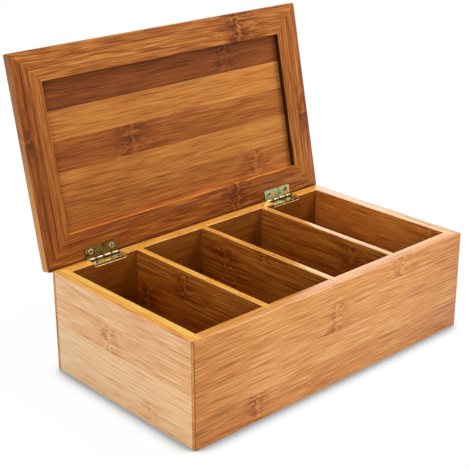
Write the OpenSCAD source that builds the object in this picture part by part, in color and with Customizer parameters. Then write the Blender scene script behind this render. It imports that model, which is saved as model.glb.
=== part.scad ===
// Tea bag organizer box: a bamboo tray with three dividers, and a framed lid on two butt hinges.
// The origin is the centre of the tray's underside, with +X along its length, +Y towards
// the hinges and +Z up. The lid is drawn closed and then turned open about the hinge pins.

/* [Tray] */
// Length of the tray
box_w = 285; // [265:1:340]
// Depth of the tray, from front to rear
box_d = 161.5; // [130:0.5:200]
// Height of the tray's walls
box_h = 82; // [60:1:110]
// Thickness of the four walls
wall_t = 10.2; // [10:0.1:13]
// Thickness of the lip that laps the side walls' ends
lip_t = 3.2; // [2:0.1:4]
// Thickness of the three dividers
divider_t = 5.8; // [4:0.1:8]
// Depth of the housings that hold the dividers' ends
housing_depth = 4.5; // [2:0.5:6]
// Thickness of the bottom panel
bottom_t = 5.8; // [4:0.1:8]
// Width of the rabbet in the walls that takes the bottom panel's edge
bottom_rabbet = 6; // [3:0.5:6]

/* [Lid] */
// How far the lid reaches past the front and the sides of the tray
lid_overhang = 2.6; // [1:0.1:5]
// Thickness of the lid's frame
lid_t = 10; // [9.5:0.1:14]
// Width of the frame's rails and stiles
rail_w = 23.8; // [18:0.1:30]
// Thickness of the panel, which lies flush with the frame's top
lid_panel_t = 5.4; // [4:0.1:7]
// Width of the rebate that the panel's edge lies in
panel_lap = 8; // [4:0.5:10]
// Radius of the lid's outer top edges
lid_round = 3.5; // [1:0.1:4]
// Radius of the lid's corners, seen from above
lid_corner_r = 2; // [1:0.1:4]
// Gap between the closed lid and the walls
lid_gap = 0.2; // [0.1:0.05:0.4]
// Angle from closed at which the lid stands open
open_angle = 101.6; // [0:0.1:105]

/* [Hinges] */
// Length of each hinge
hinge_l = 30; // [26:1:36]
// Distance from the tray's end to the middle of the hinge
hinge_inset = 47; // [40:1:52]
// Width of a leaf, from the pin's centre to its free edge
leaf_w = 9.6; // [9.2:0.1:9.8]
// Thickness of the leaves' sheet metal
leaf_t = 0.8; // [0.6:0.05:0.9]
// Radius of the leaves' two free corners
leaf_corner_r = 1; // [0.4:0.1:2]
// Number of knuckles, shared by the two leaves
knuckles = 4; // [2:2:6]
// Gap between neighbouring knuckles
knuckle_gap = 0.4; // [0.2:0.05:0.8]
// Diameter of the pin
pin_d = 1.4; // [1.2:0.05:1.6]
// Radial running clearance of the pin in the lid leaf's knuckles
pin_clear = 0.05; // [0.02:0.01:0.09]
// Gap between a mortise's ends and the hinge in it
mortise_clear = 0.2; // [0.1:0.05:0.5]

/* [Screws] */
// Distance between the two screws of a leaf
screw_pitch = 20; // [18:0.5:20]
// Distance from the pin's centre to the screws
screw_reach = 6.4; // [6.2:0.1:6.6]
// Diameter of the screws' shanks
screw_d = 2.2; // [1.8:0.1:2.6]
// Diameter of the countersunk heads
screw_head_d = 4.6; // [4:0.1:4.8]
// Length of a screw below the leaf's face
screw_l = 8; // [6:0.5:9]
// Height of a head's rim above the leaf's face
head_rim = 0.25; // [0.1:0.05:0.4]
// Length of the cross recess
recess_l = 2.6; // [2:0.1:3.2]
// Width of the cross recess's slots
recess_w = 0.6; // [0.4:0.05:0.8]
// Depth of the cross recess
recess_depth = 0.8; // [0.5:0.05:1]

/* [Hidden] */
$fn = 48;

// How far a cut runs past the face it starts from
over = 1;
// Space inside the walls
inner_w = box_w - 2 * wall_t;
inner_d = box_d - 2 * wall_t;
// Width of one of the four compartments, and the distance between divider centres
bay_w = (inner_w - 3 * divider_t) / 4;
divider_pitch = bay_w + divider_t;
// Size of the lid, whose rear edge is flush with the tray's back
lid_w = box_w + 2 * lid_overhang;
lid_d = box_d + lid_overhang;
lid_z = box_h + lid_gap;
// The rolled knuckles, which stand just clear of the wood under the leaves
knuckle_r = pin_d / 2 + leaf_t;
knuckle_relief = 0.1;
leaf_offset = knuckle_r + knuckle_relief;
finger_clear = 0.3;
// The hinge pins' centre line, in the plane of the tray's back
hinge_x = box_w / 2 - hinge_inset;
hinge_y = box_d / 2;
hinge_z = lid_z - leaf_offset;
// The cone under a screw's head, at 90 degrees, and the point of the screw
cone_h = (screw_head_d - screw_d) / 2;
point_h = screw_d * 0.8;

tray_wood = [0.85, 0.62, 0.36];
divider_wood = [0.60, 0.36, 0.16];
lid_wood = [0.66, 0.38, 0.20];
panel_wood = [0.70, 0.45, 0.26];
leaf_brass = [0.72, 0.66, 0.36];
pin_steel = [0.80, 0.74, 0.52];

// A block between two limits on each axis
module block(x, y, z) {
    translate([x[0], y[0], z[0]])
        cube([x[1] - x[0], y[1] - y[0], z[1] - z[0]]);
}

// The space that the bottom panel fills
module bottom_space(below = 0) {
    half_w = inner_w / 2 + bottom_rabbet;
    half_d = inner_d / 2 + bottom_rabbet;
    block([-half_w, half_w], [-half_d, half_d], [-below, bottom_t]);
}

// One divider, with both ends in their housings
module divider(i, above = 0) {
    x = i * divider_pitch;
    half_d = inner_d / 2 + housing_depth;
    block([x - divider_t / 2, x + divider_t / 2], [-half_d, half_d], [bottom_t, box_h + above]);
}

// The front board: its ends are rabbeted for the side walls, its inner face holds the dividers
module end_board() {
    difference() {
        block([-box_w / 2, box_w / 2], [-box_d / 2, -inner_d / 2], [0, box_h]);
        for (side = [-1, 1])
            translate([side * (inner_w + wall_t + over) / 2, 0, 0])
                block([-(wall_t + over) / 2, (wall_t + over) / 2],
                    [-box_d / 2 + lip_t, -inner_d / 2 + over], [-over, box_h + over]);
        for (i = [-1 : 1])
            divider(i, over);
        bottom_space(over);
    }
}

// A side board, whose ends lie behind the lips of the front and rear boards
module side_board(side) {
    half_d = box_d / 2 - lip_t;
    difference() {
        translate([side * (inner_w + wall_t) / 2, 0, 0])
            block([-wall_t / 2, wall_t / 2], [-half_d, half_d], [0, box_h]);
        bottom_space(over);
    }
}

// Turns what is drawn on the closed lid to where the open lid stands
module opened() {
    translate([0, hinge_y, hinge_z])
        rotate([-open_angle, 0, 0])
            translate([0, -hinge_y, -hinge_z])
                children();
}

// Cross-section of the lid's frame: outer edge at x = 0, underside at y = 0
module frame_profile() {
    difference() {
        union() {
            square([rail_w, lid_t - lid_round]);
            translate([lid_round, 0])
                square([rail_w - lid_round, lid_t]);
            translate([lid_round, lid_t - lid_round])
                circle(lid_round);
        }
        translate([rail_w - panel_lap, lid_t - lid_panel_t])
            square([panel_lap + over, lid_panel_t + over]);
    }
}

// What the rounding of a vertical corner takes away, with the corner at the origin
module corner_waste() {
    difference() {
        block([-over, lid_corner_r], [-over, lid_corner_r], [-over, lid_t + over]);
        translate([lid_corner_r, lid_corner_r, -2 * over])
            cylinder(h = lid_t + 4 * over, r = lid_corner_r);
    }
}

// A mitred member of the lid's frame: outer edge on the X axis, middle at the origin
module frame_member(length) {
    half = length / 2;
    difference() {
        intersection() {
            translate([-half, 0, 0])
                rotate([90, 0, 90])
                    linear_extrude(length)
                        frame_profile();
            linear_extrude(lid_t)
                polygon([[-half, 0], [half, 0], [half - rail_w, rail_w], [rail_w - half, rail_w]]);
        }
        for (end = [0, 1])
            mirror([end, 0, 0])
                translate([-half, 0, 0])
                    corner_waste();
    }
}

// Moves a frame member from the origin to the lid's front, rear, left or right edge
module on_lid_edge(turn, reach) {
    middle_y = hinge_y - lid_d / 2;
    translate([0, middle_y, lid_z])
        rotate([0, 0, turn])
            translate([0, -reach, 0])
                children();
}

// Places what is drawn about a pin's centre at the left (-1) or right (1) hinge
module at_hinge(side) {
    translate([side * hinge_x, hinge_y, hinge_z])
        children();
}

// Outline of a leaf, with the pin's centre line on the X axis and the free edge at -Y
module leaf_outline() {
    half = hinge_l / 2;
    translate([-half, leaf_corner_r - leaf_w])
        square([hinge_l, leaf_w - leaf_corner_r]);
    translate([leaf_corner_r - half, -leaf_w])
        square([hinge_l - 2 * leaf_corner_r, leaf_w]);
    for (end = [-1, 1])
        translate([end * (half - leaf_corner_r), leaf_corner_r - leaf_w])
            circle(leaf_corner_r);
}

// Both screws of a leaf: face up, with the face of the leaf at z = 0
module screw_pair(recessed) {
    for (end = [-1, 1])
        translate([end * screw_pitch / 2, -screw_reach, 0])
            difference() {
                union() {
                    cylinder(h = head_rim, d = screw_head_d);
                    translate([0, 0, -cone_h])
                        cylinder(h = cone_h, d1 = screw_d, d2 = screw_head_d);
                    translate([0, 0, point_h - screw_l])
                        cylinder(h = screw_l - point_h - cone_h, d = screw_d);
                    translate([0, 0, -screw_l])
                        cylinder(h = point_h, d1 = 0, d2 = screw_d);
                }
                if (recessed)
                    translate([0, 0, head_rim - recess_depth])
                        for (turn = [0, 90])
                            rotate([0, 0, turn])
                                block([-recess_l / 2, recess_l / 2],
                                    [-recess_w / 2, recess_w / 2], [0, recess_depth + over]);
            }
}

// A leaf lying under the pin; first is the knuckle it starts with, and every second one is its own
module leaf(first, bore_clear) {
    step = hinge_l / knuckles;
    half = hinge_l / 2;
    face_z = leaf_t - leaf_offset;
    difference() {
        union() {
            difference() {
                translate([0, 0, -leaf_offset])
                    linear_extrude(leaf_t)
                        leaf_outline();
                for (k = [1 - first : 2 : knuckles - 1])
                    block([k * step - half - (k == 0 ? over : knuckle_gap / 2),
                        (k + 1) * step - half + (k == knuckles - 1 ? over : knuckle_gap / 2)],
                        [-knuckle_r - finger_clear, over], [-leaf_offset - over, over]);
            }
            for (k = [first : 2 : knuckles - 1])
                translate([k * step - half + knuckle_gap / 2, 0, 0])
                    rotate([0, 90, 0])
                        cylinder(h = step - knuckle_gap, r = knuckle_r);
        }
        translate([-half - over, 0, 0])
            rotate([0, 90, 0])
                cylinder(h = hinge_l + 2 * over, d = pin_d + 2 * bore_clear);
        translate([0, 0, face_z])
            screw_pair(false);
    }
}

// The box leaf's screws point down into the rear wall
module box_screws(side, recessed) {
    at_hinge(side)
        translate([0, 0, leaf_t - leaf_offset])
            screw_pair(recessed);
}

// The lid leaf and its screws are the box leaf's turned over
module lid_side(side) {
    opened()
        at_hinge(side)
            mirror([0, 0, 1])
                children();
}

module lid_screws(side, recessed) {
    lid_side(side)
        translate([0, 0, leaf_t - leaf_offset])
            screw_pair(recessed);
}

module front_wall() {
    color(tray_wood)
        end_board();
}

module rear_wall() {
    half_l = hinge_l / 2 + mortise_clear;
    color(tray_wood)
        difference() {
            rotate([0, 0, 180])
                end_board();
            for (side = [-1, 1]) {
                block([side * hinge_x - half_l, side * hinge_x + half_l],
                    [inner_d / 2 - over, box_d / 2 + over],
                    [hinge_z - leaf_offset, box_h + over]);
                box_screws(side, false);
            }
        }
}

module left_wall() {
    color(tray_wood)
        side_board(-1);
}

module right_wall() {
    color(tray_wood)
        side_board(1);
}

module bottom_panel() {
    color(divider_wood)
        bottom_space();
}

module left_divider() {
    color(divider_wood)
        divider(-1);
}

module middle_divider() {
    color(divider_wood)
        divider(0);
}

module right_divider() {
    color(divider_wood)
        divider(1);
}

module lid_front_rail() {
    color(lid_wood)
        opened()
            on_lid_edge(0, lid_d / 2)
                frame_member(lid_w);
}

module lid_rear_rail() {
    color(lid_wood)
        difference() {
            opened()
                on_lid_edge(180, lid_d / 2)
                    frame_member(lid_w);
            for (side = [-1, 1])
                lid_screws(side, false);
        }
}

module lid_left_stile() {
    color(lid_wood)
        opened()
            on_lid_edge(-90, lid_w / 2)
                frame_member(lid_d);
}

module lid_right_stile() {
    color(lid_wood)
        opened()
            on_lid_edge(90, lid_w / 2)
                frame_member(lid_d);
}

module lid_panel() {
    half_w = lid_w / 2 - rail_w + panel_lap;
    half_d = lid_d / 2 - rail_w + panel_lap;
    color(panel_wood)
        opened()
            translate([0, hinge_y - lid_d / 2, lid_z + lid_t - lid_panel_t])
                block([-half_w, half_w], [-half_d, half_d], [0, lid_panel_t]);
}

module hinge_box_leaf(side) {
    color(leaf_brass)
        at_hinge(side)
            leaf(1, 0);
}

module hinge_lid_leaf(side) {
    color(leaf_brass)
        lid_side(side)
            leaf(0, pin_clear);
}

module hinge_pin(side) {
    color(pin_steel)
        at_hinge(side)
            translate([-hinge_l / 2, 0, 0])
                rotate([0, 90, 0])
                    cylinder(h = hinge_l, d = pin_d);
}

module hinge_box_screws(side) {
    color(pin_steel)
        box_screws(side, true);
}

module hinge_lid_screws(side) {
    color(pin_steel)
        lid_screws(side, true);
}

front_wall();
rear_wall();
left_wall();
right_wall();
bottom_panel();
left_divider();
middle_divider();
right_divider();
lid_front_rail();
lid_rear_rail();
lid_left_stile();
lid_right_stile();
lid_panel();
hinge_box_leaf(-1);  // left_hinge_box_leaf
hinge_lid_leaf(-1);  // left_hinge_lid_leaf
hinge_pin(-1);  // left_hinge_pin
hinge_box_screws(-1);  // left_hinge_box_screws
hinge_lid_screws(-1);  // left_hinge_lid_screws
hinge_box_leaf(1);  // right_hinge_box_leaf
hinge_lid_leaf(1);  // right_hinge_lid_leaf
hinge_pin(1);  // right_hinge_pin
hinge_box_screws(1);  // right_hinge_box_screws
hinge_lid_screws(1);  // right_hinge_lid_screws
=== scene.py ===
"""Tea bag organizer box: a bamboo tray with three dividers, and a framed lid on two butt hinges.

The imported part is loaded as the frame, and each piece is modelled again over its solid.
The sections follow the box as it is put together. Its sizes are written in millimetres and
turned to metres where a mesh is made; the camera and the lamps are placed in metres.
"""
import math

import bpy
from mathutils import Matrix, Vector


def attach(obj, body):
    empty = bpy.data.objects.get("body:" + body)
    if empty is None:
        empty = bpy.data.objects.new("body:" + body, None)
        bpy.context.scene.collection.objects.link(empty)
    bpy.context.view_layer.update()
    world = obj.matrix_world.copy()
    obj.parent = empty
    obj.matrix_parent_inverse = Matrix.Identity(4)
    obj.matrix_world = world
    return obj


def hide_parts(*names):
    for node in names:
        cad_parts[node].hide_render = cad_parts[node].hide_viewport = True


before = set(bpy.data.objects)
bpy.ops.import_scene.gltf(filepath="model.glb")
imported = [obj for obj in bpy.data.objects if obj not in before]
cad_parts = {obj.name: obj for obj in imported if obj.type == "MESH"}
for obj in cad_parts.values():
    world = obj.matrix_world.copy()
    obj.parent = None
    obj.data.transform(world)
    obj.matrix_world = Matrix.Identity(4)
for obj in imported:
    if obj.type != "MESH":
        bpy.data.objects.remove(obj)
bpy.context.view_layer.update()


# ---- Camera -------------------------------------------------------------------------------
# A long lens at the front left, about 0.9 m away, with the whole open lid in view. It looks
# 22 degrees down, so that the compartments' rear walls show.
bpy.ops.object.camera_add()
camera = bpy.context.object
camera.data.lens = 87.93
camera.data.sensor_width = 36
camera.data.clip_end = 50
camera.matrix_world = (
    Matrix.Translation((-0.57478, -0.59014, 0.42509))
    @ Matrix.Rotation(math.radians(-42.649), 4, "Z")
    @ Matrix.Rotation(math.radians(90 - 21.80), 4, "X")
    @ Matrix.Rotation(math.radians(-0.194), 4, "Z"))
bpy.context.scene.camera = camera
bpy.context.scene.view_settings.view_transform = "Standard"


# ---- Studio -------------------------------------------------------------------------------
# A white sweep under soft light: a softbox overhead, a large one at the left and a low one
# behind. The white room shows to the eye and in the metal, and lights the box only a little.
def node(tree, kind, links=None, stops=None, **settings):
    """Adds a node. links is {input: value, socket or node}, and stops a ramp's places and
    colours from its start to its end."""
    made = tree.nodes.new(kind)
    for key, value in settings.items():
        setattr(made, key, value)
    for key, value in (links or {}).items():
        value = value.outputs[0] if isinstance(value, bpy.types.Node) else value
        if isinstance(value, bpy.types.NodeSocket):
            tree.links.new(value, made.inputs[key])
        else:
            made.inputs[key].default_value = value
    for i, (place, colour) in enumerate(stops or []):
        ramp = made.color_ramp.elements
        stop = ramp[i] if i < 2 else ramp.new(place)
        stop.position, stop.color = place, colour
    return made


def empty_tree(owner):
    """The node tree of a material or a world, without the nodes it starts with."""
    owner.use_nodes = True
    owner.node_tree.nodes.clear()
    return owner.node_tree


def seen_directly(tree):
    """1 for what the eye sees by itself or in a mirror or glass, 0 for light on other things."""
    rays = node(tree, "ShaderNodeLightPath").outputs
    seen = node(tree, "ShaderNodeMath", {0: rays["Is Camera Ray"], 1: rays["Is Glossy Ray"]},
                operation="MAXIMUM")
    return node(tree, "ShaderNodeMath", {0: seen, 1: rays["Is Transmission Ray"]},
                operation="MAXIMUM")


def softbox(name, place, size, watts):
    """A square area lamp turned towards the middle of the box."""
    bpy.ops.object.light_add(type="AREA", location=place)
    lamp = bpy.context.object
    lamp.name = name
    aim = Vector((0, 0, 0.05)) - Vector(place)
    lamp.rotation_euler = aim.to_track_quat("-Z", "Y").to_euler()
    lamp.data.shape = "SQUARE"
    lamp.data.size = size
    lamp.data.energy = watts
    lamp.visible_camera = False


softbox("overhead_softbox", (0.83, -0.31, 1.31), 0.6, 22)
softbox("left_softbox", (-2.15, -1.75, 0.90), 1.6, 41)
softbox("rear_softbox", (0.95, 0.95, 0.60), 0.5, 0.7)

world = bpy.data.worlds.new("studio")
bpy.context.scene.world = world
tree = empty_tree(world)
room = node(tree, "ShaderNodeBackground", {"Color": (1, 1, 1, 1), "Strength": 0.25})
sweep = node(tree, "ShaderNodeBackground", {"Color": (1, 1, 1, 1), "Strength": 1.0})
mixed = node(tree, "ShaderNodeMixShader", {0: seen_directly(tree), 1: room, 2: sweep})
node(tree, "ShaderNodeOutputWorld", {"Surface": mixed})

# White paper: matt and evenly lit, with a painted contact shadow round the box: its glow of
# 0.965 falls towards 0.30 in the last 20 mm before the box.
paper = bpy.data.materials.new("matt_white_paper")
tree = empty_tree(paper)
near = node(tree, "ShaderNodeAmbientOcclusion", {"Distance": 0.020}, samples=16).outputs["AO"]
near = node(tree, "ShaderNodeMath", {0: 1.0, 1: near}, operation="SUBTRACT")
near = node(tree, "ShaderNodeMath", {0: near, 1: 3.0}, operation="POWER")
glow = node(tree, "ShaderNodeMath", {0: near, 1: -7.0, 2: 0.965}, operation="MULTIPLY_ADD")
glow = node(tree, "ShaderNodeMath", {0: glow, 1: 0.30}, operation="MAXIMUM")
lit = node(tree, "ShaderNodeBsdfDiffuse", {"Color": (0.06, 0.06, 0.06, 1)})
even = node(tree, "ShaderNodeEmission", {"Color": (1, 1, 1, 1), "Strength": glow})
shown = node(tree, "ShaderNodeAddShader", {0: lit, 1: even})
bounced = node(tree, "ShaderNodeBsdfDiffuse", {"Color": (0.80, 0.80, 0.80, 1)})
mixed = node(tree, "ShaderNodeMixShader", {0: seen_directly(tree), 1: bounced, 2: shown})
node(tree, "ShaderNodeOutputMaterial", {"Surface": mixed})
bpy.ops.mesh.primitive_plane_add(size=12, location=(0, 0, 0))
floor = bpy.context.object
floor.name = "floor"
floor.data.materials.append(paper)


# ---- Front wall ---------------------------------------------------------------------------
# A board of flat-pressed bamboo, 10.2 mm thick: two plies of 22 mm strips glued edge to edge.
# Its ends are rabbeted for the side walls, and three housings take the dividers' ends.
def to_linear(colour):
    """An sRGB hex colour as the linear colour that shaders work in."""
    parts = [int(colour[i:i + 2], 16) / 255 for i in (1, 3, 5)]
    return [p / 12.92 if p <= 0.04045 else ((p + 0.055) / 1.055) ** 2.4 for p in parts] + [1]


def bamboo(name, along, across, centre, outer, inner, tones, ply=0.0, gloss=0.45, coat=0.0,
           shine=0.5, seed=0.0, painted_shade_tint=None, both=False, lift=0.0, top_tint="#FFFFFF",
           arris=0.0, grain=1.0, fade=0.0, top_fade=0.0, bow=0.0):
    """Flat-pressed carbonised bamboo, sanded under a clear satin lacquer. The eye gets straight
    strips with a fine streaky grain, here and there a dark crooked node, and a soft sheen.

    along is the grain's direction and across the way up its face. outer and inner list the
    strips of the two plies from the bottom up, in millimetres from the centre: upper edge,
    tone from 0 dark to 1 pale, where along the strip its growth node is, and how strong.
    A strip without a node has a place far off its end, from -400 on, and a strength of 0.
    ply is the depth of the glue line between the plies; 9 puts it outside the board.
    gloss is the faces' roughness, shine their specular level, and coat the lacquer on the
    top edge, which lift and top_tint make paler or warmer: a warmer tone of its own with
    painted light, and painted shade on some lid edges where lift is below 0.
    painted_shade_tint darkens the inner face, or both faces, as painted shade, and arris the
    rounded ends. grain is the contrast of the fibres, fade the tone gained for each
    millimetre along, top_fade the same on the top edge alone, and bow the tone gained 100 mm
    from the middle. Where fade and top_fade are set, they paint a gradient of light.
    """
    along, across = Vector(along), Vector(across)
    through = across.cross(along)
    axes = Matrix((along, through, across))
    material = bpy.data.materials.new(name)
    tree = empty_tree(material)
    place = node(tree, "ShaderNodeTexCoord").outputs
    board = node(tree, "ShaderNodeMapping", {
        "Vector": place["Object"], "Location": -1000 * (axes @ Vector(centre)),
        "Rotation": axes.to_euler(), "Scale": (1000, 1000, 1000)})
    run, deep, high = node(tree, "ShaderNodeSeparateXYZ", {0: board}).outputs

    # Which ply and strip a point is in. A ramp runs up the board, 250 mm long and centred on
    # it. Its red is the strip's tone, its green where the growth node is, and its blue how
    # strong; a dark glue line, 0.5 mm wide, parts a strip from the one below.
    ramp_mm, half_line, line_dark = 250, 0.25, 0.15
    up_board = node(tree, "ShaderNodeMath", {0: high, 1: 1 / ramp_mm, 2: 0.5},
                    operation="MULTIPLY_ADD")
    plies = []
    for table in (outer, inner):
        below, stops = None, []
        for edge, tone, spot, strength in table:
            spot = 0.5 + spot / 1000
            if below is None:
                stops.append((0, (tone, spot, strength, 1)))
            else:
                stops.append((0.5 + (below - half_line) / ramp_mm,
                              (tone - line_dark, spot, strength, 1)))
                stops.append((0.5 + (below + half_line) / ramp_mm, (tone, spot, strength, 1)))
            below = edge
        if len(stops) == 1:
            stops.append((1, stops[0][1]))
        plies.append(node(tree, "ShaderNodeValToRGB", {0: up_board}, stops))
        plies[-1].color_ramp.interpolation = "CONSTANT"
    beyond = node(tree, "ShaderNodeMath", {0: deep, 1: ply}, operation="GREATER_THAN")
    strip = node(tree, "ShaderNodeMix", {0: beyond, 6: plies[0], 7: plies[1]}, data_type="RGBA")
    tone, spot, strength = node(tree, "ShaderNodeSeparateColor", {0: strip.outputs[2]}).outputs

    # The growth node: a pale crooked line across the strip, dark beside it, in a blur 80 mm
    # long that the fibres break up. The line wanders by up to 15 mm, half of it to each side.
    wander, ring_mm = 15, 80
    crook = node(tree, "ShaderNodeMapping", {
        "Vector": board, "Location": (seed, 3, 0), "Scale": (0.03, 0.22, 0.22)})
    crook = node(tree, "ShaderNodeTexNoise", {"Vector": crook, "Scale": 1, "Detail": 3,
                                              "Roughness": 0.62})
    away = node(tree, "ShaderNodeMath", {0: spot, 1: -1000, 2: 500 - wander / 2},
                operation="MULTIPLY_ADD")
    away = node(tree, "ShaderNodeMath", {0: crook, 1: wander, 2: away},
                operation="MULTIPLY_ADD")
    away = node(tree, "ShaderNodeMath", {0: run, 1: away}, operation="ADD")
    away = node(tree, "ShaderNodeMath", {0: away, 1: 1 / ring_mm, 2: 0.5},
                operation="MULTIPLY_ADD")
    ring = node(tree, "ShaderNodeValToRGB", {0: away}, [
        (at, (dark, dark, dark, 1)) for at, dark in (
            (0.02, 0.00), (0.22, 0.06), (0.34, 0.20), (0.43, 0.36), (0.472, 0.50),
            (0.489, -0.02), (0.507, -0.06), (0.530, 0.40), (0.58, 0.28), (0.68, 0.12),
            (0.95, 0.00))])
    mottle = node(tree, "ShaderNodeMapping", {
        "Vector": board, "Location": (seed, 5, 0), "Scale": (0.11, 0.26, 0.26)})
    mottle = node(tree, "ShaderNodeTexNoise", {"Vector": mottle, "Scale": 1, "Detail": 3,
                                               "Roughness": 0.8})
    mottle = node(tree, "ShaderNodeMapRange", {0: mottle, 1: 0.36, 2: 0.66, 3: -0.2, 4: 2.2})
    knot = node(tree, "ShaderNodeMath", {0: ring, 1: mottle}, operation="MULTIPLY")
    knot = node(tree, "ShaderNodeMath", {0: knot, 1: strength}, operation="MULTIPLY")

    # Grain: bands 5 mm wide, fibre bundles, and dark vessels between them, all wandering a
    # little as they run. They differ from strip to strip and bend round the growth nodes.
    # Real bundles are 0.4 mm wide; they are drawn at twice that to show.
    drift = node(tree, "ShaderNodeMapping", {
        "Vector": board, "Location": (seed, 0, 0), "Scale": (0.012, 0.03, 0.03)})
    drift = node(tree, "ShaderNodeTexNoise", {"Vector": drift, "Scale": 1, "Detail": 2})
    bent = node(tree, "ShaderNodeMath", {0: drift, 1: 2.5, 2: high}, operation="MULTIPLY_ADD")
    bent = node(tree, "ShaderNodeMath", {0: spot, 1: 700.0, 2: bent}, operation="MULTIPLY_ADD")
    bent = node(tree, "ShaderNodeMath", {0: knot, 1: 3.0, 2: bent}, operation="MULTIPLY_ADD")
    fibre = node(tree, "ShaderNodeCombineXYZ", {0: run, 1: deep, 2: bent})
    layers = []
    for length, width, detail in ((90, 5.0, 1), (34, 0.85, 2), (26, 0.75, 1)):
        stretched = node(tree, "ShaderNodeMapping", {
            "Vector": fibre, "Location": (seed + width, length, width),
            "Scale": (1 / length, 1 / width, 1 / width)})
        layers.append(node(tree, "ShaderNodeTexNoise", {"Vector": stretched, "Scale": 1,
                                                        "Detail": detail, "Roughness": 0.6}))
    bands, bundles, vessels = layers
    band_depth, bundle_depth = 0.30, 1.45 * grain
    vessels = node(tree, "ShaderNodeMapRange", {0: vessels, 1: 0.55, 2: 0.70, 3: 0, 4: 1})
    # Where fade is set, it paints a gradient of light along the board
    level = node(tree, "ShaderNodeMath", {0: run, 1: fade, 2: tone}, operation="MULTIPLY_ADD")
    outward = node(tree, "ShaderNodeMath", {0: run, 1: run}, operation="MULTIPLY")
    level = node(tree, "ShaderNodeMath", {0: outward, 1: bow / 100 ** 2, 2: level},
                 operation="MULTIPLY_ADD")
    level = node(tree, "ShaderNodeMath", {0: bands, 1: band_depth, 2: level},
                 operation="MULTIPLY_ADD")
    level = node(tree, "ShaderNodeMath", {0: bundles, 1: bundle_depth, 2: level},
                 operation="MULTIPLY_ADD")
    level = node(tree, "ShaderNodeMath", {0: vessels, 1: -0.16, 2: level},
                 operation="MULTIPLY_ADD")
    level = node(tree, "ShaderNodeMath", {0: knot, 1: -0.80, 2: level}, operation="MULTIPLY_ADD")

    # The glue line between the plies shows on the edges, end grain drinks the lacquer, and the
    # planed top edges are glossier than the sanded faces. They are also drawn paler: partly a
    # tone of their own, partly painted light
    glue = node(tree, "ShaderNodeMath", {0: deep, 1: ply}, operation="SUBTRACT")
    glue = node(tree, "ShaderNodeMath", {0: glue}, operation="ABSOLUTE")
    glue = node(tree, "ShaderNodeMapRange", {0: glue, 1: 0.1, 2: 0.4, 3: -0.12, 4: 0})
    level = node(tree, "ShaderNodeMath", {0: level, 1: glue}, operation="ADD")
    end = node(tree, "ShaderNodeVectorMath", {0: place["Normal"], 1: tuple(along)},
               operation="DOT_PRODUCT").outputs["Value"]
    end = node(tree, "ShaderNodeMath", {0: end}, operation="ABSOLUTE")
    corner = node(tree, "ShaderNodeMapRange", {0: end, 1: 0.06, 2: 0.30, 3: 0, 4: 1})
    end = node(tree, "ShaderNodeMapRange", {0: end, 1: 0.75, 2: 0.97, 3: 0, 4: 1})
    corner = node(tree, "ShaderNodeMath", {0: end, 1: -0.85, 2: corner},
                  operation="MULTIPLY_ADD")
    top = node(tree, "ShaderNodeVectorMath", {0: place["Normal"], 1: tuple(across)},
               operation="DOT_PRODUCT").outputs["Value"]
    top = node(tree, "ShaderNodeMapRange", {0: top, 1: 0.6, 2: 0.9, 3: 0, 4: 1})
    level = node(tree, "ShaderNodeMath", {0: corner, 1: -arris, 2: level},
                 operation="MULTIPLY_ADD")
    # lift paints light on the top edge, and shade where it is below 0; top_fade paints a gradient
    # along it
    raised = node(tree, "ShaderNodeMath", {0: run, 1: top_fade, 2: lift},
                  operation="MULTIPLY_ADD")
    level = node(tree, "ShaderNodeMath", {0: top, 1: raised, 2: level},
                 operation="MULTIPLY_ADD")
    # Bands and bundles lie about 0.5, so half their depth comes off again
    level = node(tree, "ShaderNodeMath", {0: level, 1: -(band_depth + bundle_depth) / 2},
                 operation="ADD")
    shown = node(tree, "ShaderNodeValToRGB", {0: level}, [
        (at, to_linear(colour)) for at, colour in zip((0, 0.35, 0.65, 1), tones)])
    shown = node(tree, "ShaderNodeMix", {0: top, 6: shown, 7: to_linear(top_tint)},
                 data_type="RGBA", blend_type="MULTIPLY").outputs[2]
    # Painted shade: the inner face, or both faces, is darkened as the shade deep in the
    # compartments
    if painted_shade_tint:
        inside = node(tree, "ShaderNodeVectorMath", {0: place["Normal"], 1: tuple(through)},
                      operation="DOT_PRODUCT").outputs["Value"]
        if both:
            inside = node(tree, "ShaderNodeMath", {0: inside}, operation="ABSOLUTE")
        inside = node(tree, "ShaderNodeMapRange", {0: inside, 1: 0.75, 2: 0.97, 3: 0, 4: 1})
        shown = node(tree, "ShaderNodeMix", {0: inside, 6: shown, 7: to_linear(painted_shade_tint)},
                     data_type="RGBA", blend_type="MULTIPLY").outputs[2]
    rough = node(tree, "ShaderNodeMath", {0: bundles, 1: 0.16, 2: gloss - 0.08},
                 operation="MULTIPLY_ADD")
    rough = node(tree, "ShaderNodeMath", {0: end, 1: 0.20, 2: rough}, operation="MULTIPLY_ADD")
    rough = node(tree, "ShaderNodeMath", {0: top, 1: -0.5 * coat, 2: rough},
                 operation="MULTIPLY_ADD")
    # A thin film of lacquer on the faces, and more of it on the top edge
    film = 0.06
    if coat:
        film = node(tree, "ShaderNodeMath", {0: top, 1: coat, 2: film},
                    operation="MULTIPLY_ADD")
    relief = node(tree, "ShaderNodeMath", {0: vessels, 1: -0.5, 2: bundles},
                  operation="MULTIPLY_ADD")
    bump = node(tree, "ShaderNodeBump", {"Strength": 0.12, "Distance": 0.0002,
                                         "Height": relief})
    shader = node(tree, "ShaderNodeBsdfPrincipled", {
        "Base Color": shown, "Roughness": rough, "Normal": bump, "IOR": 1.5,
        "Specular IOR Level": shine, "Coat Weight": film, "Coat Roughness": 0.16})
    node(tree, "ShaderNodeOutputMaterial", {"Surface": shader})
    return material


# Sizes below are in millimetres, and Blender's lengths are in metres
mm = 0.001


def pick(piece):
    """Selects one piece alone."""
    bpy.ops.object.select_all(action="DESELECT")
    bpy.context.view_layer.objects.active = piece
    piece.select_set(True)


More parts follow.
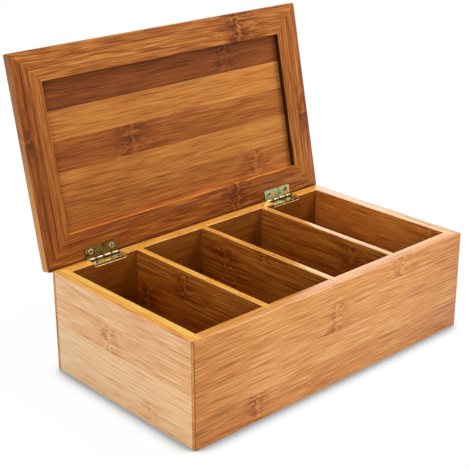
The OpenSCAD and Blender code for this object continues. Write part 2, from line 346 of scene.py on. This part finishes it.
def settle(piece):
    """Puts a piece's place, turn and scale into its mesh."""
    pick(piece)
    bpy.ops.object.transform_apply(location=True, rotation=True, scale=True)


def box_between(name, low, high):
    """A block between two corners given in millimetres, its place in its mesh."""
    low, high = Vector(low) * mm, Vector(high) * mm
    bpy.ops.mesh.primitive_cube_add(size=1, location=(low + high) / 2, scale=high - low)
    made = bpy.context.object
    made.name = name
    settle(made)
    return made


def combine(piece, block, how):
    """Cuts a block out of a piece, welds it on, or keeps only what lies inside it."""
    change = piece.modifiers.new("change", "BOOLEAN")
    change.operation, change.solver, change.object = how, "EXACT", block
    bpy.context.view_layer.objects.active = piece
    bpy.ops.object.modifier_apply(modifier="change")
    bpy.data.objects.remove(block)


def cut_away(piece, *cutters):
    """Takes other blocks' space out of a piece."""
    for cutter in cutters:
        combine(piece, cutter, "DIFFERENCE")


def ease_edges(piece, radius, chosen, segments=3):
    """Rounds the edges whose two ends, in millimetres, the chosen test accepts."""
    pick(piece)
    bpy.ops.object.mode_set(mode="EDIT")
    bpy.ops.mesh.select_mode(type="EDGE")
    bpy.ops.mesh.select_all(action="DESELECT")
    bpy.ops.object.mode_set(mode="OBJECT")
    points = piece.data.vertices
    for edge in piece.data.edges:
        a, b = (points[i].co / mm for i in edge.vertices)
        edge.select = bool(chosen(a, b))
    bpy.ops.object.mode_set(mode="EDIT")
    bpy.ops.mesh.bevel(offset=radius * mm, segments=segments, profile=0.5, affect="EDGES",
                       clamp_overlap=True)
    bpy.ops.object.mode_set(mode="OBJECT")


def on_plane(a, b, axis, *places):
    """True where both ends of an edge lie on one of the planes across an axis."""
    return any(abs(a[axis] - at) < 0.01 and abs(b[axis] - at) < 0.01 for at in places)


def finish_piece(piece, material, body, solid):
    """Gives a finished piece its material and its body, and hides the solid it stands for."""
    piece.data.materials.clear()
    piece.data.materials.append(material)
    # Slivers that the cuts leave along an edge are merged into it
    sliver = 0.002 * mm
    pick(piece)
    bpy.ops.object.mode_set(mode="EDIT")
    bpy.ops.mesh.select_all(action="SELECT")
    bpy.ops.mesh.remove_doubles(threshold=sliver)
    bpy.ops.mesh.dissolve_degenerate(threshold=sliver)
    bpy.ops.object.mode_set(mode="OBJECT")
    bpy.ops.object.shade_smooth_by_angle(angle=math.radians(30))
    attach(piece, body)
    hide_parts(solid)


# Half the tray's width and depth, its height and its boards' thickness, and from them half
# the inside's width and depth
half_w, half_d, tall, wall = 142.5, 80.75, 82.0, 10.2
bay_w, bay_d = half_w - wall, half_d - wall
# The lip in front of a side wall's end, the depth of a housing, a divider's thickness and the
# way from one to the next, the bottom's thickness and how far its rebate goes into the walls
lip, housing, divider, pitch, foot, rabbet = 3.2, 4.5, 5.8, 67.6, 5.8, 6.0
# The cutters reach this far past the wood, and the sanded arrises are rounded so much
past, outer_arris, side_arris, inner_arris = 1, 0.6, 0.45, 0.35


def end_board(name):
    """The front wall; the rear wall starts as the same board."""
    made = box_between(name, (-half_w, -half_d, 0), (half_w, -bay_d, tall))
    cut_away(made,
             box_between("rabbet", (-half_w - past, -half_d + lip, -past),
                         (-bay_w, -bay_d + past, tall + past)),
             box_between("rabbet", (bay_w, -half_d + lip, -past),
                         (half_w + past, -bay_d + past, tall + past)),
             box_between("rebate", (-bay_w - past, -bay_d - rabbet, -past),
                         (bay_w + past, -bay_d + past, foot)),
             *(box_between("housing", (x - divider / 2, -bay_d - housing, foot - past),
                           (x + divider / 2, -bay_d + past, tall + past))
               for x in (-pitch, 0, pitch)))
    ease_edges(made, outer_arris, lambda a, b: (
        on_plane(a, b, 1, -half_d) and on_plane(a, b, 2, 0, tall)
        or on_plane(a, b, 1, -half_d) and on_plane(a, b, 0, -half_w, half_w)
        or on_plane(a, b, 2, 0, tall) and on_plane(a, b, 0, -half_w, half_w)))
    ease_edges(made, inner_arris, lambda a, b: (
        on_plane(a, b, 2, tall) and on_plane(a, b, 1, -bay_d)))
    return made


tray_tones = ("#82400F", "#C57A30", "#E2A25C", "#F1CB90")
pale_tones = ("#944F1E", "#DE9955", "#FBC288", "#FFE5B3")
# Painted shade: inside the tray the boards are drawn darker, as the shade deep in the
# compartments; pale_shade, for the right wall's inner face, is lighter where more light falls
deep_shade, shade, pale_shade = "#977A37", "#C7AF65", "#EDD4A0"
front_wall = end_board("front_board")
# Honey-coloured strips with a low sheen and darker ends, and painted shade on the inner face;
# the glossier top edge, drawn a little paler with painted light, is gold where it mirrors the
# lid and pale beyond that
front_finish = bamboo(
    "satin_lacquered_bamboo_front", (1, 0, 0), (0, 0, 1),
    (0, -(half_d + bay_d) / 2 * mm, tall / 2 * mm),
    outer=[(-19.5, 0.44, -84, 0.4), (3, 0.56, -400, 0), (25.5, 0.53, -3, 0.5),
           (41, 0.53, 71, 0.5)],
    inner=[(-8, 0.55, 40, 0.8), (14.5, 0.50, -60, 0.8), (36.5, 0.60, 110, 0.8),
           (41, 0.55, -410, 0)],
    tones=tray_tones, coat=0.4, painted_shade_tint=deep_shade, lift=0.10, top_tint="#F3E1A8",
    arris=0.9, shine=0.4, bow=0.055)
finish_piece(front_wall, front_finish, "tray", "front_wall")

# ---- Rear wall ----------------------------------------------------------------------------
# The same bamboo board turned round, with two mortises in its top edge for the hinges. They
# are deep enough for the rolled knuckles, so that the lid can lie down on the walls.
rear_wall = end_board("rear_board")
rear_wall.rotation_euler = (0, 0, math.pi)
settle(rear_wall)
# The pin line's place to either side and its height, a hinge's length, how far below the
# pin line the leaf in the mortise lies, and the play at its ends
hinge_x, hinge_z, hinge_l, leaf_low, play = 95.5, 80.6, 30.0, 1.6, 0.2
cut_away(rear_wall, *(
    box_between("mortise", (x - hinge_l / 2 - play, bay_d - past, hinge_z - leaf_low),
                (x + hinge_l / 2 + play, half_d + past, tall + past))
    for x in (-hinge_x, hinge_x)))
for x in (-hinge_x, hinge_x):
    # A square bar, 0.44 mm thick and set on its edge, cuts the small chamfer along the front
    # of the mortise's floor
    floor_edge = Vector((x, bay_d, hinge_z - leaf_low))
    half_bar = Vector((hinge_l / 2, 0.22, 0.22))
    bar = box_between("bar", floor_edge - half_bar, floor_edge + half_bar)
    bpy.ops.transform.rotate(value=math.pi / 4, orient_axis="X", center_override=floor_edge * mm)
    settle(bar)
    cut_away(rear_wall, bar)
# The same lacquer: painted brown shade on the inner face, as deep in the compartments, and deep
# gold along the top edge with painted light
rear_finish = bamboo(
    "satin_lacquered_bamboo_rear", (-1, 0, 0), (0, 0, 1),
    (0, (half_d + bay_d) / 2 * mm, tall / 2 * mm),
    outer=[(-15, 0.55, 60, 0.8), (7.5, 0.48, -30, 1), (30, 0.60, 95, 0.7), (41, 0.55, -400, 0)],
    inner=[(-19, 0.55, 84, 1), (3.5, 0.52, -10, 1), (26, 0.58, -410, 0), (41, 0.55, -420, 0)],
    tones=tray_tones, coat=0.3, painted_shade_tint=deep_shade, seed=31, lift=0.12, top_tint="#FFF6A8",
    shine=0.3, grain=1.15)
finish_piece(rear_wall, rear_finish, "tray", "rear_wall")

# ---- Side walls ---------------------------------------------------------------------------
# Plain bamboo boards of the same thickness between the front and the rear. Their ends are
# glued behind the lips, and a rebate along the foot takes the bottom.
def side_board(name, side):
    """A side wall; side is -1 for the left one and 1 for the right one."""
    ends = half_d - lip
    low, high = sorted((side * bay_w, side * half_w))
    made = box_between(name, (low, -ends, 0), (high, ends, tall))
    low, high = sorted((side * (bay_w - past), side * (bay_w + rabbet)))
    cut_away(made, box_between("rebate", (low, -ends - past, -past),
                               (high, ends + past, foot)))
    ease_edges(made, side_arris, lambda a, b: (
        on_plane(a, b, 0, side * half_w) and on_plane(a, b, 2, 0, tall)))
    ease_edges(made, inner_arris, lambda a, b: (
        on_plane(a, b, 0, side * bay_w) and on_plane(a, b, 2, tall)))
    return made


left_wall = side_board("left_board", -1)
# Paler strips, nearly straw, under the same satin lacquer, painted lighter towards the rear as a
# gradient of light, with painted shade on the inner face; the top edge is a warm yellow, and
# orange along the outer ply
left_finish = bamboo(
    "satin_lacquered_bamboo_left", (0, -1, 0), (0, 0, 1),
    (-(half_w + bay_w) / 2 * mm, 0, tall / 2 * mm),
    outer=[(-23.5, 0.77, 35, 0.4), (-1.5, 0.77, -400, 0), (20.5, 0.60, -12, 0.5),
           (41, 0.64, -410, 0)],
    inner=[(-10, 0.55, 20, 0.8), (12, 0.5, -44, 0.8), (34, 0.6, 60, 0.8), (41, 0.95, -420, 0)],
    tones=pale_tones, coat=0.6, painted_shade_tint=shade, seed=57, lift=-0.1, top_tint="#FBEE99",
    grain=1.15, fade=-0.001)
finish_piece(left_wall, left_finish, "tray", "left_wall")
right_wall = side_board("right_board", 1)
# Honey-coloured again, painted darker towards the rear as a gradient of light, with a lighter
# painted shade inside, where more light falls; on its glossy top edge both plies show, the
# inner one pale cream with painted light and the outer one tan
right_finish = bamboo(
    "satin_lacquered_bamboo_right", (0, 1, 0), (0, 0, 1),
    ((half_w + bay_w) / 2 * mm, 0, tall / 2 * mm),
    outer=[(-18, 0.62, -22, 0.8), (4, 0.55, 48, 0.8), (26, 0.60, -400, 0), (41, 0.32, -50, 0.4)],
    inner=[(-12, 0.55, 20, 0.8), (10, 0.5, 25, 0.8), (30, 0.6, -57, 0.5), (41, 0.55, -57, 0.4)],
    tones=tray_tones, coat=0.5, painted_shade_tint=pale_shade, seed=83, lift=0.20, top_tint="#FAFBF2",
    grain=1.25, fade=-0.0015)
finish_piece(right_wall, right_finish, "tray", "right_wall")

# ---- Dividers -----------------------------------------------------------------------------
# Three thin bamboo boards, level with the tops of the walls. They are slid down into the
# housings of the front and rear walls, glued there, and stand on the bottom.
def copy_of(master, name):
    """Another piece of the same shape, with a mesh of its own."""
    copy = master.copy()
    copy.data = master.data.copy()
    copy.name = name
    bpy.context.scene.collection.objects.link(copy)
    return copy


first_divider = box_between("left_partition", (-pitch - divider / 2, -bay_d - housing, foot),
                            (-pitch + divider / 2, bay_d + housing, tall))
ease_edges(first_divider, inner_arris, lambda a, b: (
    on_plane(a, b, 2, tall) and abs(a[1] - b[1]) > 1))
partitions = [first_divider]
for name in ("middle_partition", "right_partition"):
    copy = copy_of(first_divider, name)
    copy.location = (len(partitions) * pitch * mm, 0, 0)
    settle(copy)
    partitions.append(copy)
partition_looks = {
    "left": ([(-28, 0.45, 30, 0.7), (-6, 0.48, -52, 0.5), (16, 0.45, -58, 0.8),
              (38, 0.45, -14, 0.9), (50, 0.45, -400, 0)],
             dict(seed=101, lift=0.33, top_tint="#FFF193", grain=1.4)),
    "middle": ([(-26, 0.5, 45, 0.7), (-4, 0.46, -400, 0), (12, 0.5, -30, 0.5),
                (31, 0.46, -41, 0.9), (50, 0.48, 3, 0.6)],
               dict(seed=114, lift=0.10, top_tint="#FFF6B0", grain=1.7)),
    "right": ([(-30, 0.5, 10, 0.7), (-8, 0.55, -20, 0.6), (14, 0.54, 33, 0.6),
               (36, 0.5, 33, 0.8), (50, 0.5, -400, 0)],
              dict(seed=127, lift=0.13, top_tint="#FFFAC4", grain=1.6))}
# Faces painted brown on both sides as the shade between the walls, with strong streaks, and
# planed top edges that shine from gold to peach, drawn paler with painted light
for i, (side, (table, settings)) in enumerate(partition_looks.items()):
    finish = bamboo(
        "satin_lacquered_bamboo_%s_divider" % side, (0, -1, 0), (0, 0, 1),
        ((i - 1) * pitch * mm, 0, tall / 2 * mm), outer=table, inner=table, tones=tray_tones,
        ply=9, coat=0.5, painted_shade_tint=shade, both=True, **settings)
    finish_piece(partitions[i], finish, "tray", side + "_divider")

# ---- Bottom -------------------------------------------------------------------------------
# A bamboo board let into the rabbet at the foot of the walls and glued. The imported solid is
# its true shape, so only its finish is set: the brown of painted shade, as deep in the
# compartments, on both faces.
bottom_finish = bamboo(
    "satin_lacquered_bamboo_bottom", (1, 0, 0), (0, 1, 0), (0, 0, foot / 2 * mm),
    outer=[(-57, 0.5, 60, 0.8), (-35, 0.6, -50, 0.8), (-12, 0.5, 20, 0.8), (10, 0.58, -90, 0.8),
           (33, 0.5, 96, 0.8), (55, 0.6, -20, 0.8), (80, 0.5, 40, 0.8)],
    inner=[(80, 0.55, -60, 0.8)],
    tones=tray_tones, ply=9, painted_shade_tint=shade, both=True, seed=150)
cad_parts["bottom_panel"].data.materials.clear()
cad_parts["bottom_panel"].data.materials.append(bottom_finish)

# ---- Lid frame ----------------------------------------------------------------------------
# Four bamboo rails, 23.8 mm wide, mitred and glued at the corners. They are rounded over
# along the top's outer edge, and rebated from above along the inner one for the panel.
open_angle = math.radians(101.6)
pivot = Vector((0, half_d, hinge_z)) * mm
opened = (Matrix.Translation(pivot) @ Matrix.Rotation(-open_angle, 4, "X")
          @ Matrix.Translation(-pivot))
# How far the closed lid stands past the walls at its front and sides and above them, and how
# thick it is; and from them its reach to the sides, the front and the rear, and its faces
overhang, lid_gap, lid_t = 2.6, 0.2, 10.0
lid_half, lid_front, lid_rear = half_w + overhang, -half_d - overhang, half_d
lid_low, lid_high = tall + lid_gap, tall + lid_gap + lid_t
# The rails' width, how far the panel laps over them, and the panel's thickness
rail, lap, panel_t = 23.8, 8.0, 5.4
# How much the lid's top edge, its four corners and its inner arrises are rounded
round_over, corner_round, lid_arris = 3.5, 2.0, 0.4


def lid_ring(name):
    """The whole frame as one ring, closed, before it is sawn along its mitres."""
    made = box_between(name, (-lid_half, lid_front, lid_low), (lid_half, lid_rear, lid_high))
    ease_edges(made, round_over, lambda a, b: on_plane(a, b, 2, lid_high), 8)
    outline = box_between("outline", (-lid_half, lid_front, lid_low - past),
                          (lid_half, lid_rear, lid_high + past))
    ease_edges(outline, corner_round, lambda a, b: abs(a[2] - b[2]) > 5, 6)
    combine(made, outline, "INTERSECT")
    ease_edges(made, lid_arris, lambda a, b: on_plane(a, b, 2, lid_low), 2)
    cut_away(made,
             box_between("opening", (-lid_half + rail, lid_front + rail, lid_low - past),
                         (lid_half - rail, lid_rear - rail, lid_high + past)),
             box_between("rebate", (-lid_half + rail - lap, lid_front + rail - lap,
                                    lid_high - panel_t),
                         (lid_half - rail + lap, lid_rear - rail + lap, lid_high + past)))
    ease_edges(made, lid_arris, lambda a, b: on_plane(a, b, 2, lid_low) and (
        on_plane(a, b, 0, -lid_half + rail, lid_half - rail)
        or on_plane(a, b, 1, lid_front + rail, lid_rear - rail)), 2)
    return made


def saw(piece, point, normal):
    """Keeps the side of a plane that the normal points away from, and closes the cut."""
    pick(piece)
    bpy.ops.object.mode_set(mode="EDIT")
    bpy.ops.mesh.select_all(action="SELECT")
    bpy.ops.mesh.bisect(plane_co=Vector(point) * mm, plane_no=normal, use_fill=True,
                        clear_outer=True, threshold=0.000001)
    bpy.ops.object.mode_set(mode="OBJECT")


def stand_open(piece):
    """Turns a piece of the closed lid about the hinge pins to where the open lid stands."""
    piece.matrix_world = opened
    settle(piece)


def lid_way(x, y, z):
    """A direction on the closed lid as it lies on the open one."""
    return opened.to_3x3() @ Vector((x, y, z))


ring = lid_ring("lid_ring")
corners = {"front_left": ((-lid_half, lid_front, 0), (1, -1, 0)),
           "front_right": ((lid_half, lid_front, 0), (-1, -1, 0)),
           "rear_left": ((-lid_half, lid_rear, 0), (1, 1, 0)),
           "rear_right": ((lid_half, lid_rear, 0), (-1, 1, 0))}
members = {"front_rail": (("front_left", -1), ("front_right", -1)),
           "rear_rail": (("rear_left", -1), ("rear_right", -1)),
           "left_stile": (("front_left", 1), ("rear_left", 1)),
           "right_stile": (("front_right", 1), ("rear_right", 1))}
lid_tones = ("#5C2C0A", "#8F4A18", "#BE7A35", "#D59C50")
# The closed lid's middle, which is also where the stiles have theirs from front to rear
closed_middle = Vector((0, (lid_front + lid_rear) / 2, (lid_low + lid_high) / 2))
# Painted light and shade on the members' edge faces, through lift and top_tint: the front rail's
# The left stile's outer side is painted lighter, and darker towards the open lid's top by
# stile's inner step is painted near black, as the shade it stands in. The rear rail's first
# strip, tone 0.10 along its outer edge, is a painted shadow line between the lid and the wall.
# top edge and the rear rail's inner edge are painted paler, as lit from above, and the right
# top_fade; its last strip, tone 0.22, paints a dark line of shade along the arris there.
looks = {
    "front_rail": ((1, 0, 0), (0, -1, 0), (0, lid_front + rail / 2),
                   [(4, 0.48, 77, 0.95), (14, 0.46, 77.5, 1.0)],
                   dict(seed=211, lift=0.35, grain=1.1)),
    "rear_rail": ((1, 0, 0), (0, -1, 0), (0, lid_rear - rail / 2),
                  [(-10.4, 0.10, -400, 0), (4, 0.36, 51, 0.9), (14, 0.35, 52, 0.9)],
                  dict(seed=223, lift=0.5, top_tint="#FFDC98", grain=1.1)),
    "left_stile": ((0, -1, 0), (-1, 0, 0), (-lid_half + rail / 2, closed_middle.y),
                   [(-2, 0.42, -400, 0), (-1.2, 0.32, -400, 0), (4, 0.38, 18, 0.4),
                    (4.8, 0.30, 18, 0.4), (11.0, 0.34, 18, 0.8), (14, 0.22, 18, 0.4)],
                   dict(seed=239, lift=0.56, top_tint="#FFF2EE", coat=0.25, grain=0.7,
                        top_fade=-0.0042)),
    "right_stile": ((0, -1, 0), (-1, 0, 0), (lid_half - rail / 2, closed_middle.y),
                    [(-1, 0.42, -12, 0.7), (6, 0.48, -400, 0), (14, 0.46, -410, 0)],
                    dict(seed=251, lift=-0.8, top_tint="#A0B36C", grain=1.1))}
# Darker bamboo with the lacquer rubbed flat: reddish brown, fine streaks, nearly black nodes
for member, cuts in members.items():
    piece = copy_of(ring, "lid_" + member + "_piece")
    for corner, keep in cuts:
        point, outward = corners[corner]
        saw(piece, point, Vector(outward) * keep)
    if "rail" in member:
        saw(piece, closed_middle, (0, 1 if member == "front_rail" else -1, 0))
    along, across, centre, table, settings = looks[member]
    stand_open(piece)
    finish = bamboo("satin_lacquered_bamboo_lid_" + member, lid_way(*along), lid_way(*across),
                    opened @ (Vector((*centre, closed_middle.z)) * mm),
                    outer=table, inner=table, tones=lid_tones, ply=9, gloss=0.5, shine=0.15,
                    **settings)
    finish_piece(piece, finish, "lid", "lid_" + member)
bpy.data.objects.remove(ring)

# ---- Lid panel ----------------------------------------------------------------------------
# Five bamboo strips, dark and light by turns, glued edge to edge. The board is glued in the
# frame's rebate, flush with the frame's top and set back 4.6 mm from its inner face.
panel = box_between("lid_board", (-lid_half + rail - lap, lid_front + rail - lap,
                                  lid_high - panel_t),
                    (lid_half - rail + lap, lid_rear - rail + lap, lid_high))
stand_open(panel)
# The same flat lacquer over broad amber and brown stripes with a quieter grain, painted a
# little darker towards the left as a gradient of light
panel_finish = bamboo(
    "satin_lacquered_bamboo_lid_panel", lid_way(1, 0, 0), lid_way(0, -1, 0),
    opened @ (Vector((0, closed_middle.y, lid_high - panel_t / 2)) * mm),
    outer=[(-36.3, 0.47, 80, 0.5), (-12.3, 0.58, -400, 0), (11.2, 0.39, -44, 0.75),
           (35.2, 0.61, -410, 0), (70, 0.22, 63, 0.7)],
    inner=[(-36.3, 0.50, 23, 0.8), (-12.3, 0.60, -80, 0.8), (11.2, 0.46, 41, 0.8),
           (35.2, 0.56, -60, 0.8), (70, 0.44, -65, 0.8)],
    tones=lid_tones, seed=307, gloss=0.5, shine=0.15, grain=0.6, fade=0.0005)
finish_piece(panel, panel_finish, "lid", "lid_panel")

# ---- Hinges -------------------------------------------------------------------------------
# Two pressed steel butt hinges, zinc plated and passivated yellow. Both leaves of a hinge are
# the same stamping: its edge is cut into fingers, and two of them are rolled round the pin.
knuckle, pin_r, leaf_t, leaf_w = 1.5, 0.7, 0.8, 9.6
# A leaf is made lying flat below its pin, which is the x axis. Besides the radii and the
# leaf's thickness and width, these are the height of its upper face, how far the gaps
# between its fingers go in, and where the two screws sit.
leaf_top, gap_end, screw_x, screw_y = leaf_t - leaf_low, -1.8, 10, -6.4
leaf = box_between("leaf", (-hinge_l / 2, -leaf_w, -leaf_low), (hinge_l / 2, 0, leaf_top))
ease_edges(leaf, 1.0, lambda a, b: on_plane(a, b, 1, -leaf_w) and abs(a[2] - b[2]) > 0.5, 6)
# A hinge has four fingers, two to a leaf: the first and third of this one are cut away for
# the other leaf's, and the second and fourth are rolled
finger, roll_l = hinge_l / 4, 6.7
cut_away(leaf, *(
    box_between("gap", (-hinge_l / 2 + k * finger - (past if k == 0 else play), gap_end, -3),
                (-hinge_l / 2 + (k + 1) * finger + play, past, past)) for k in (0, 2)))
ease_edges(leaf, 0.12, lambda a, b: (
    on_plane(a, b, 2, leaf_top) and min(a[1], b[1]) < gap_end + 0.1), 2)


def round_bar(name, x, radius, length):
    """A round bar along the pin's line, its middle at x."""
    bpy.ops.mesh.primitive_cylinder_add(vertices=32, radius=radius * mm, depth=length * mm,
                                        rotation=(0, math.pi / 2, 0), location=(x * mm, 0, 0))
    made = bpy.context.object
    made.name = name
    settle(made)
    return made


for k in (1, 3):
    roll = round_bar("roll", -hinge_l / 2 + (k + 0.5) * finger, knuckle, roll_l)
    ease_edges(roll, 0.35, lambda a, b: abs(a[0] - b[0]) < 0.01)
    combine(leaf, roll, "UNION")
cut_away(leaf, round_bar("bore", 0, pin_r, hinge_l + 2))


def turned(name, profile, sides=40):
    """A turned shape, drawn out of a disc ring by ring: radius and height of each."""
    bpy.ops.mesh.primitive_circle_add(vertices=sides, radius=profile[0][0] * mm,
                                      fill_type="NGON", location=(0, 0, profile[0][1] * mm))
    made = bpy.context.object
    made.name = name
    pick(made)
    bpy.ops.object.mode_set(mode="EDIT")
    bpy.ops.mesh.select_mode(type="FACE")
    bpy.ops.mesh.select_all(action="SELECT")
    for (r0, z0), (r1, z1) in zip(profile, profile[1:]):
        bpy.ops.mesh.extrude_region_move(
            TRANSFORM_OT_translate={"value": (0, 0, (z1 - z0) * mm)})
        bpy.ops.transform.resize(value=(r1 / r0, r1 / r0, 1),
                                 center_override=(0, 0, z1 * mm))
    bpy.ops.mesh.select_all(action="SELECT")
    bpy.ops.mesh.normals_make_consistent(inside=False)
    bpy.ops.object.mode_set(mode="OBJECT")
    settle(made)
    return made


# Countersinks a little wider than the heads, so a dark line shows round each head; the plating
# also paints their sloping walls partly dark as shade
for x in (-screw_x, screw_x):
    sink = turned("sink", [(1.3, -3.0), (1.3, -2.0), (2.62, -0.72), (2.62, 0)])
    sink.location = (x * mm, screw_y * mm, 0)
    bpy.context.view_layer.update()
    cut_away(leaf, sink)

# A countersunk screw with a cross recess; its domed head stands a little above the leaf
screw = turned("screw", [(0.15, -8.0), (1.1, -6.24), (1.1, -1.2), (2.30, 0.0), (2.26, 0.08),
                         (2.05, 0.16), (1.5, 0.22), (0.8, 0.25)])
slot_l, slot_w, slot_deep = 1.45, 0.38, 0.70
cut_away(screw,
         box_between("slot", (-slot_l, -slot_w, -slot_deep), (slot_l, slot_w, 1)),
         box_between("slot", (-slot_w, -slot_l, -slot_deep), (slot_w, slot_l, 1)),
         turned("well", [(0.30, -1.2), (0.90, 0.0), (0.95, 1.0)], 16))
# Two of them in a leaf, their slots stopped at different angles
pair = []
for x in (-screw_x, screw_x):
    one = copy_of(screw, "one_screw")
    one.rotation_euler = (0, 0, math.radians(20 + 3 * x))
    one.location = (x * mm, screw_y * mm, leaf_top * mm)
    settle(one)
    pair.append(one)
pick(pair[0])
pair[1].select_set(True)
bpy.ops.object.join()
screws = bpy.context.object
bpy.data.objects.remove(screw)


def plated(name, hues, rough, scale, seed, facing, knuckle_top=None, margin=0.0):
    """Steel, zinc plated and yellow passivated. The eye gets a soft metal shine under a thin
    film that drifts from straw to green and brown.

    hues are the film's colours, in patches scale millimetres wide, and rough its roughness.
    facing is the way the plate looks: sheared edges and recesses, which look elsewhere, are
    painted dark, for the shade on them and the bare steel of the cuts. Where knuckle_top is
    given, the rolled knuckles are painted that colour on top and dark on their sides and
    underneath, as painted light from above and painted shade below and in the gaps between
    them, and margin is how much the last millimetre before the leaf's outer edge is darkened.
    """
    material = bpy.data.materials.new(name)
    tree = empty_tree(material)
    place = node(tree, "ShaderNodeTexCoord").outputs
    film = node(tree, "ShaderNodeMapping", {"Vector": place["Object"], "Location": (seed, 0, 0),
                                            "Scale": (1000 / scale,) * 3})
    film = node(tree, "ShaderNodeTexNoise", {"Vector": film, "Scale": 1, "Detail": 2,
                                             "Roughness": 0.55, "Distortion": 0.6})
    last = len(hues) - 1
    stops = [(0.32 + 0.36 * i / last, to_linear(hue)) for i, hue in enumerate(hues)]
    shown = node(tree, "ShaderNodeValToRGB", {0: film}, stops)
    # Painted shade: faces that turn away from the plate, its cut edges and recesses, are drawn
    # dark
    flat = node(tree, "ShaderNodeVectorMath", {0: place["Normal"], 1: tuple(facing)},
                operation="DOT_PRODUCT").outputs["Value"]
    flat = node(tree, "ShaderNodeMapRange", {0: flat, 1: 0.35, 2: 0.9, 3: 1, 4: 0})
    shown = node(tree, "ShaderNodeMix", {0: flat, 6: shown, 7: to_linear("#241A14")},
                 data_type="RGBA", blend_type="MULTIPLY" if knuckle_top is None else "MIX").outputs[2]
    if knuckle_top:
        from_pin = node(tree, "ShaderNodeVectorMath", {
            0: place["Object"], 1: (0, -half_d * mm, -hinge_z * mm)}, operation="ADD")
        from_pin = node(tree, "ShaderNodeVectorMath", {0: from_pin, 1: (0, 1, 1)},
                        operation="MULTIPLY")
        from_pin = node(tree, "ShaderNodeVectorMath", {0: from_pin},
                        operation="LENGTH").outputs["Value"]
        # The last millimetre before the leaf's outer edge is drawn darker by margin
        darkened_margin = node(tree, "ShaderNodeMapRange", {
            0: from_pin, 1: (leaf_w - 1.1) * mm, 2: (leaf_w - 0.3) * mm, 3: 0, 4: margin})
        shown = node(tree, "ShaderNodeMix", {0: darkened_margin, 6: shown, 7: to_linear("#3A2A30")},
                     data_type="RGBA").outputs[2]
        # Painted light and shade on the knuckles: pale where they face up, dark on their sides
        # and ends and underneath
        rolled = node(tree, "ShaderNodeMapRange", {
            0: from_pin, 1: (knuckle + 0.1) * mm, 2: (knuckle + 0.4) * mm, 3: 1, 4: 0})
        upward = node(tree, "ShaderNodeSeparateXYZ", {0: place["Normal"]}).outputs["Z"]
        ends = node(tree, "ShaderNodeValToRGB", {0: upward}, [
            (0.0, to_linear("#4A382C")), (0.25, to_linear("#6E5A48")), (0.75, to_linear(knuckle_top))])
        shown = node(tree, "ShaderNodeMix", {0: rolled, 6: shown, 7: ends},
                     data_type="RGBA").outputs[2]
    # Drawing marks from the sheet, 0.3 mm apart
    marks = node(tree, "ShaderNodeMapping", {"Vector": place["Object"],
                                             "Scale": (120, 3300, 3300)})
    marks = node(tree, "ShaderNodeTexNoise", {"Vector": marks, "Scale": 1, "Detail": 1})
    rough = node(tree, "ShaderNodeMapRange", {0: film, 3: rough - 0.08, 4: rough + 0.14})
    bump = node(tree, "ShaderNodeBump", {"Strength": 0.12, "Distance": 0.00006,
                                         "Height": marks})
    shader = node(tree, "ShaderNodeBsdfPrincipled", {
        "Base Color": shown, "Metallic": 1.0, "Roughness": rough, "Normal": bump})
    node(tree, "ShaderNodeOutputMaterial", {"Surface": shader})
    return material


# One hinge's film is thick and dull, brown and olive; the other's is bright, green and gold
dull = ("#382515", "#7E4D1E", "#8A5A25", "#807739", "#774F22", "#A68A57")
bright = ("#8FA06E", "#93AC78", "#BCC480", "#9CBC94", "#D8C878", "#CE9C58", "#A8763A")
films = {"left_lid_leaf": (dull, 0.2), "right_lid_leaf": (bright, 0.0),
         "left_box_leaf": (("#776D51", "#B9B462", "#D4D473", "#B7AD90", "#EADB7E"), 0.9),
         "right_box_leaf": (("#524857", "#7F775B", "#AEA669", "#899178", "#C1B47A"), 0.9)}
# On the screws the film is so thin that they look silvery; the pins are painted a dull dark
# brown, as the shade in the gaps between the knuckles
screw_hues = ("#B0895C", "#D9B98A", "#EFDCAF", "#E3C795")
pin_finish = plated("yellow_passivated_pin_painted_shade", ("#3C3022", "#57462E", "#6E5C40"), 0.40, 4, 6,
                    (0, 0, 1))
for side, way, seed in (("left", -1, 3), ("right", 1, 8)):
    at_pin = Matrix.Translation((way * hinge_x * mm, half_d * mm, hinge_z * mm))
    turned_over = opened @ at_pin @ Matrix.Rotation(math.pi, 4, "Y")
    for part, master, where, body in (
            ("box_leaf", leaf, at_pin, "tray"), ("lid_leaf", leaf, turned_over, "lid"),
            ("box_screws", screws, at_pin, "tray"), ("lid_screws", screws, turned_over, "lid")):
        piece = copy_of(master, "%s_%s_piece" % (side, part))
        piece.matrix_world = where
        settle(piece)
        facing = where.to_3x3() @ Vector((0, 0, 1))
        if master == leaf:
            hues, margin = films["%s_%s" % (side, part)]
            finish = plated("yellow_passivated_%s_%s" % (side, part), hues, 0.32, 7, seed,
                            facing, knuckle_top="#897A5D", margin=margin)
        else:
            finish = plated("thin_yellow_passivated_%s_%s" % (side, part), screw_hues, 0.28,
                            4, 5, facing)
        finish_piece(piece, finish, body, "%s_hinge_%s" % (side, part))
    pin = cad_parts["%s_hinge_pin" % side]
    pin.data.materials.clear()
    pin.data.materials.append(pin_finish)
bpy.data.objects.remove(leaf)
bpy.data.objects.remove(screws)
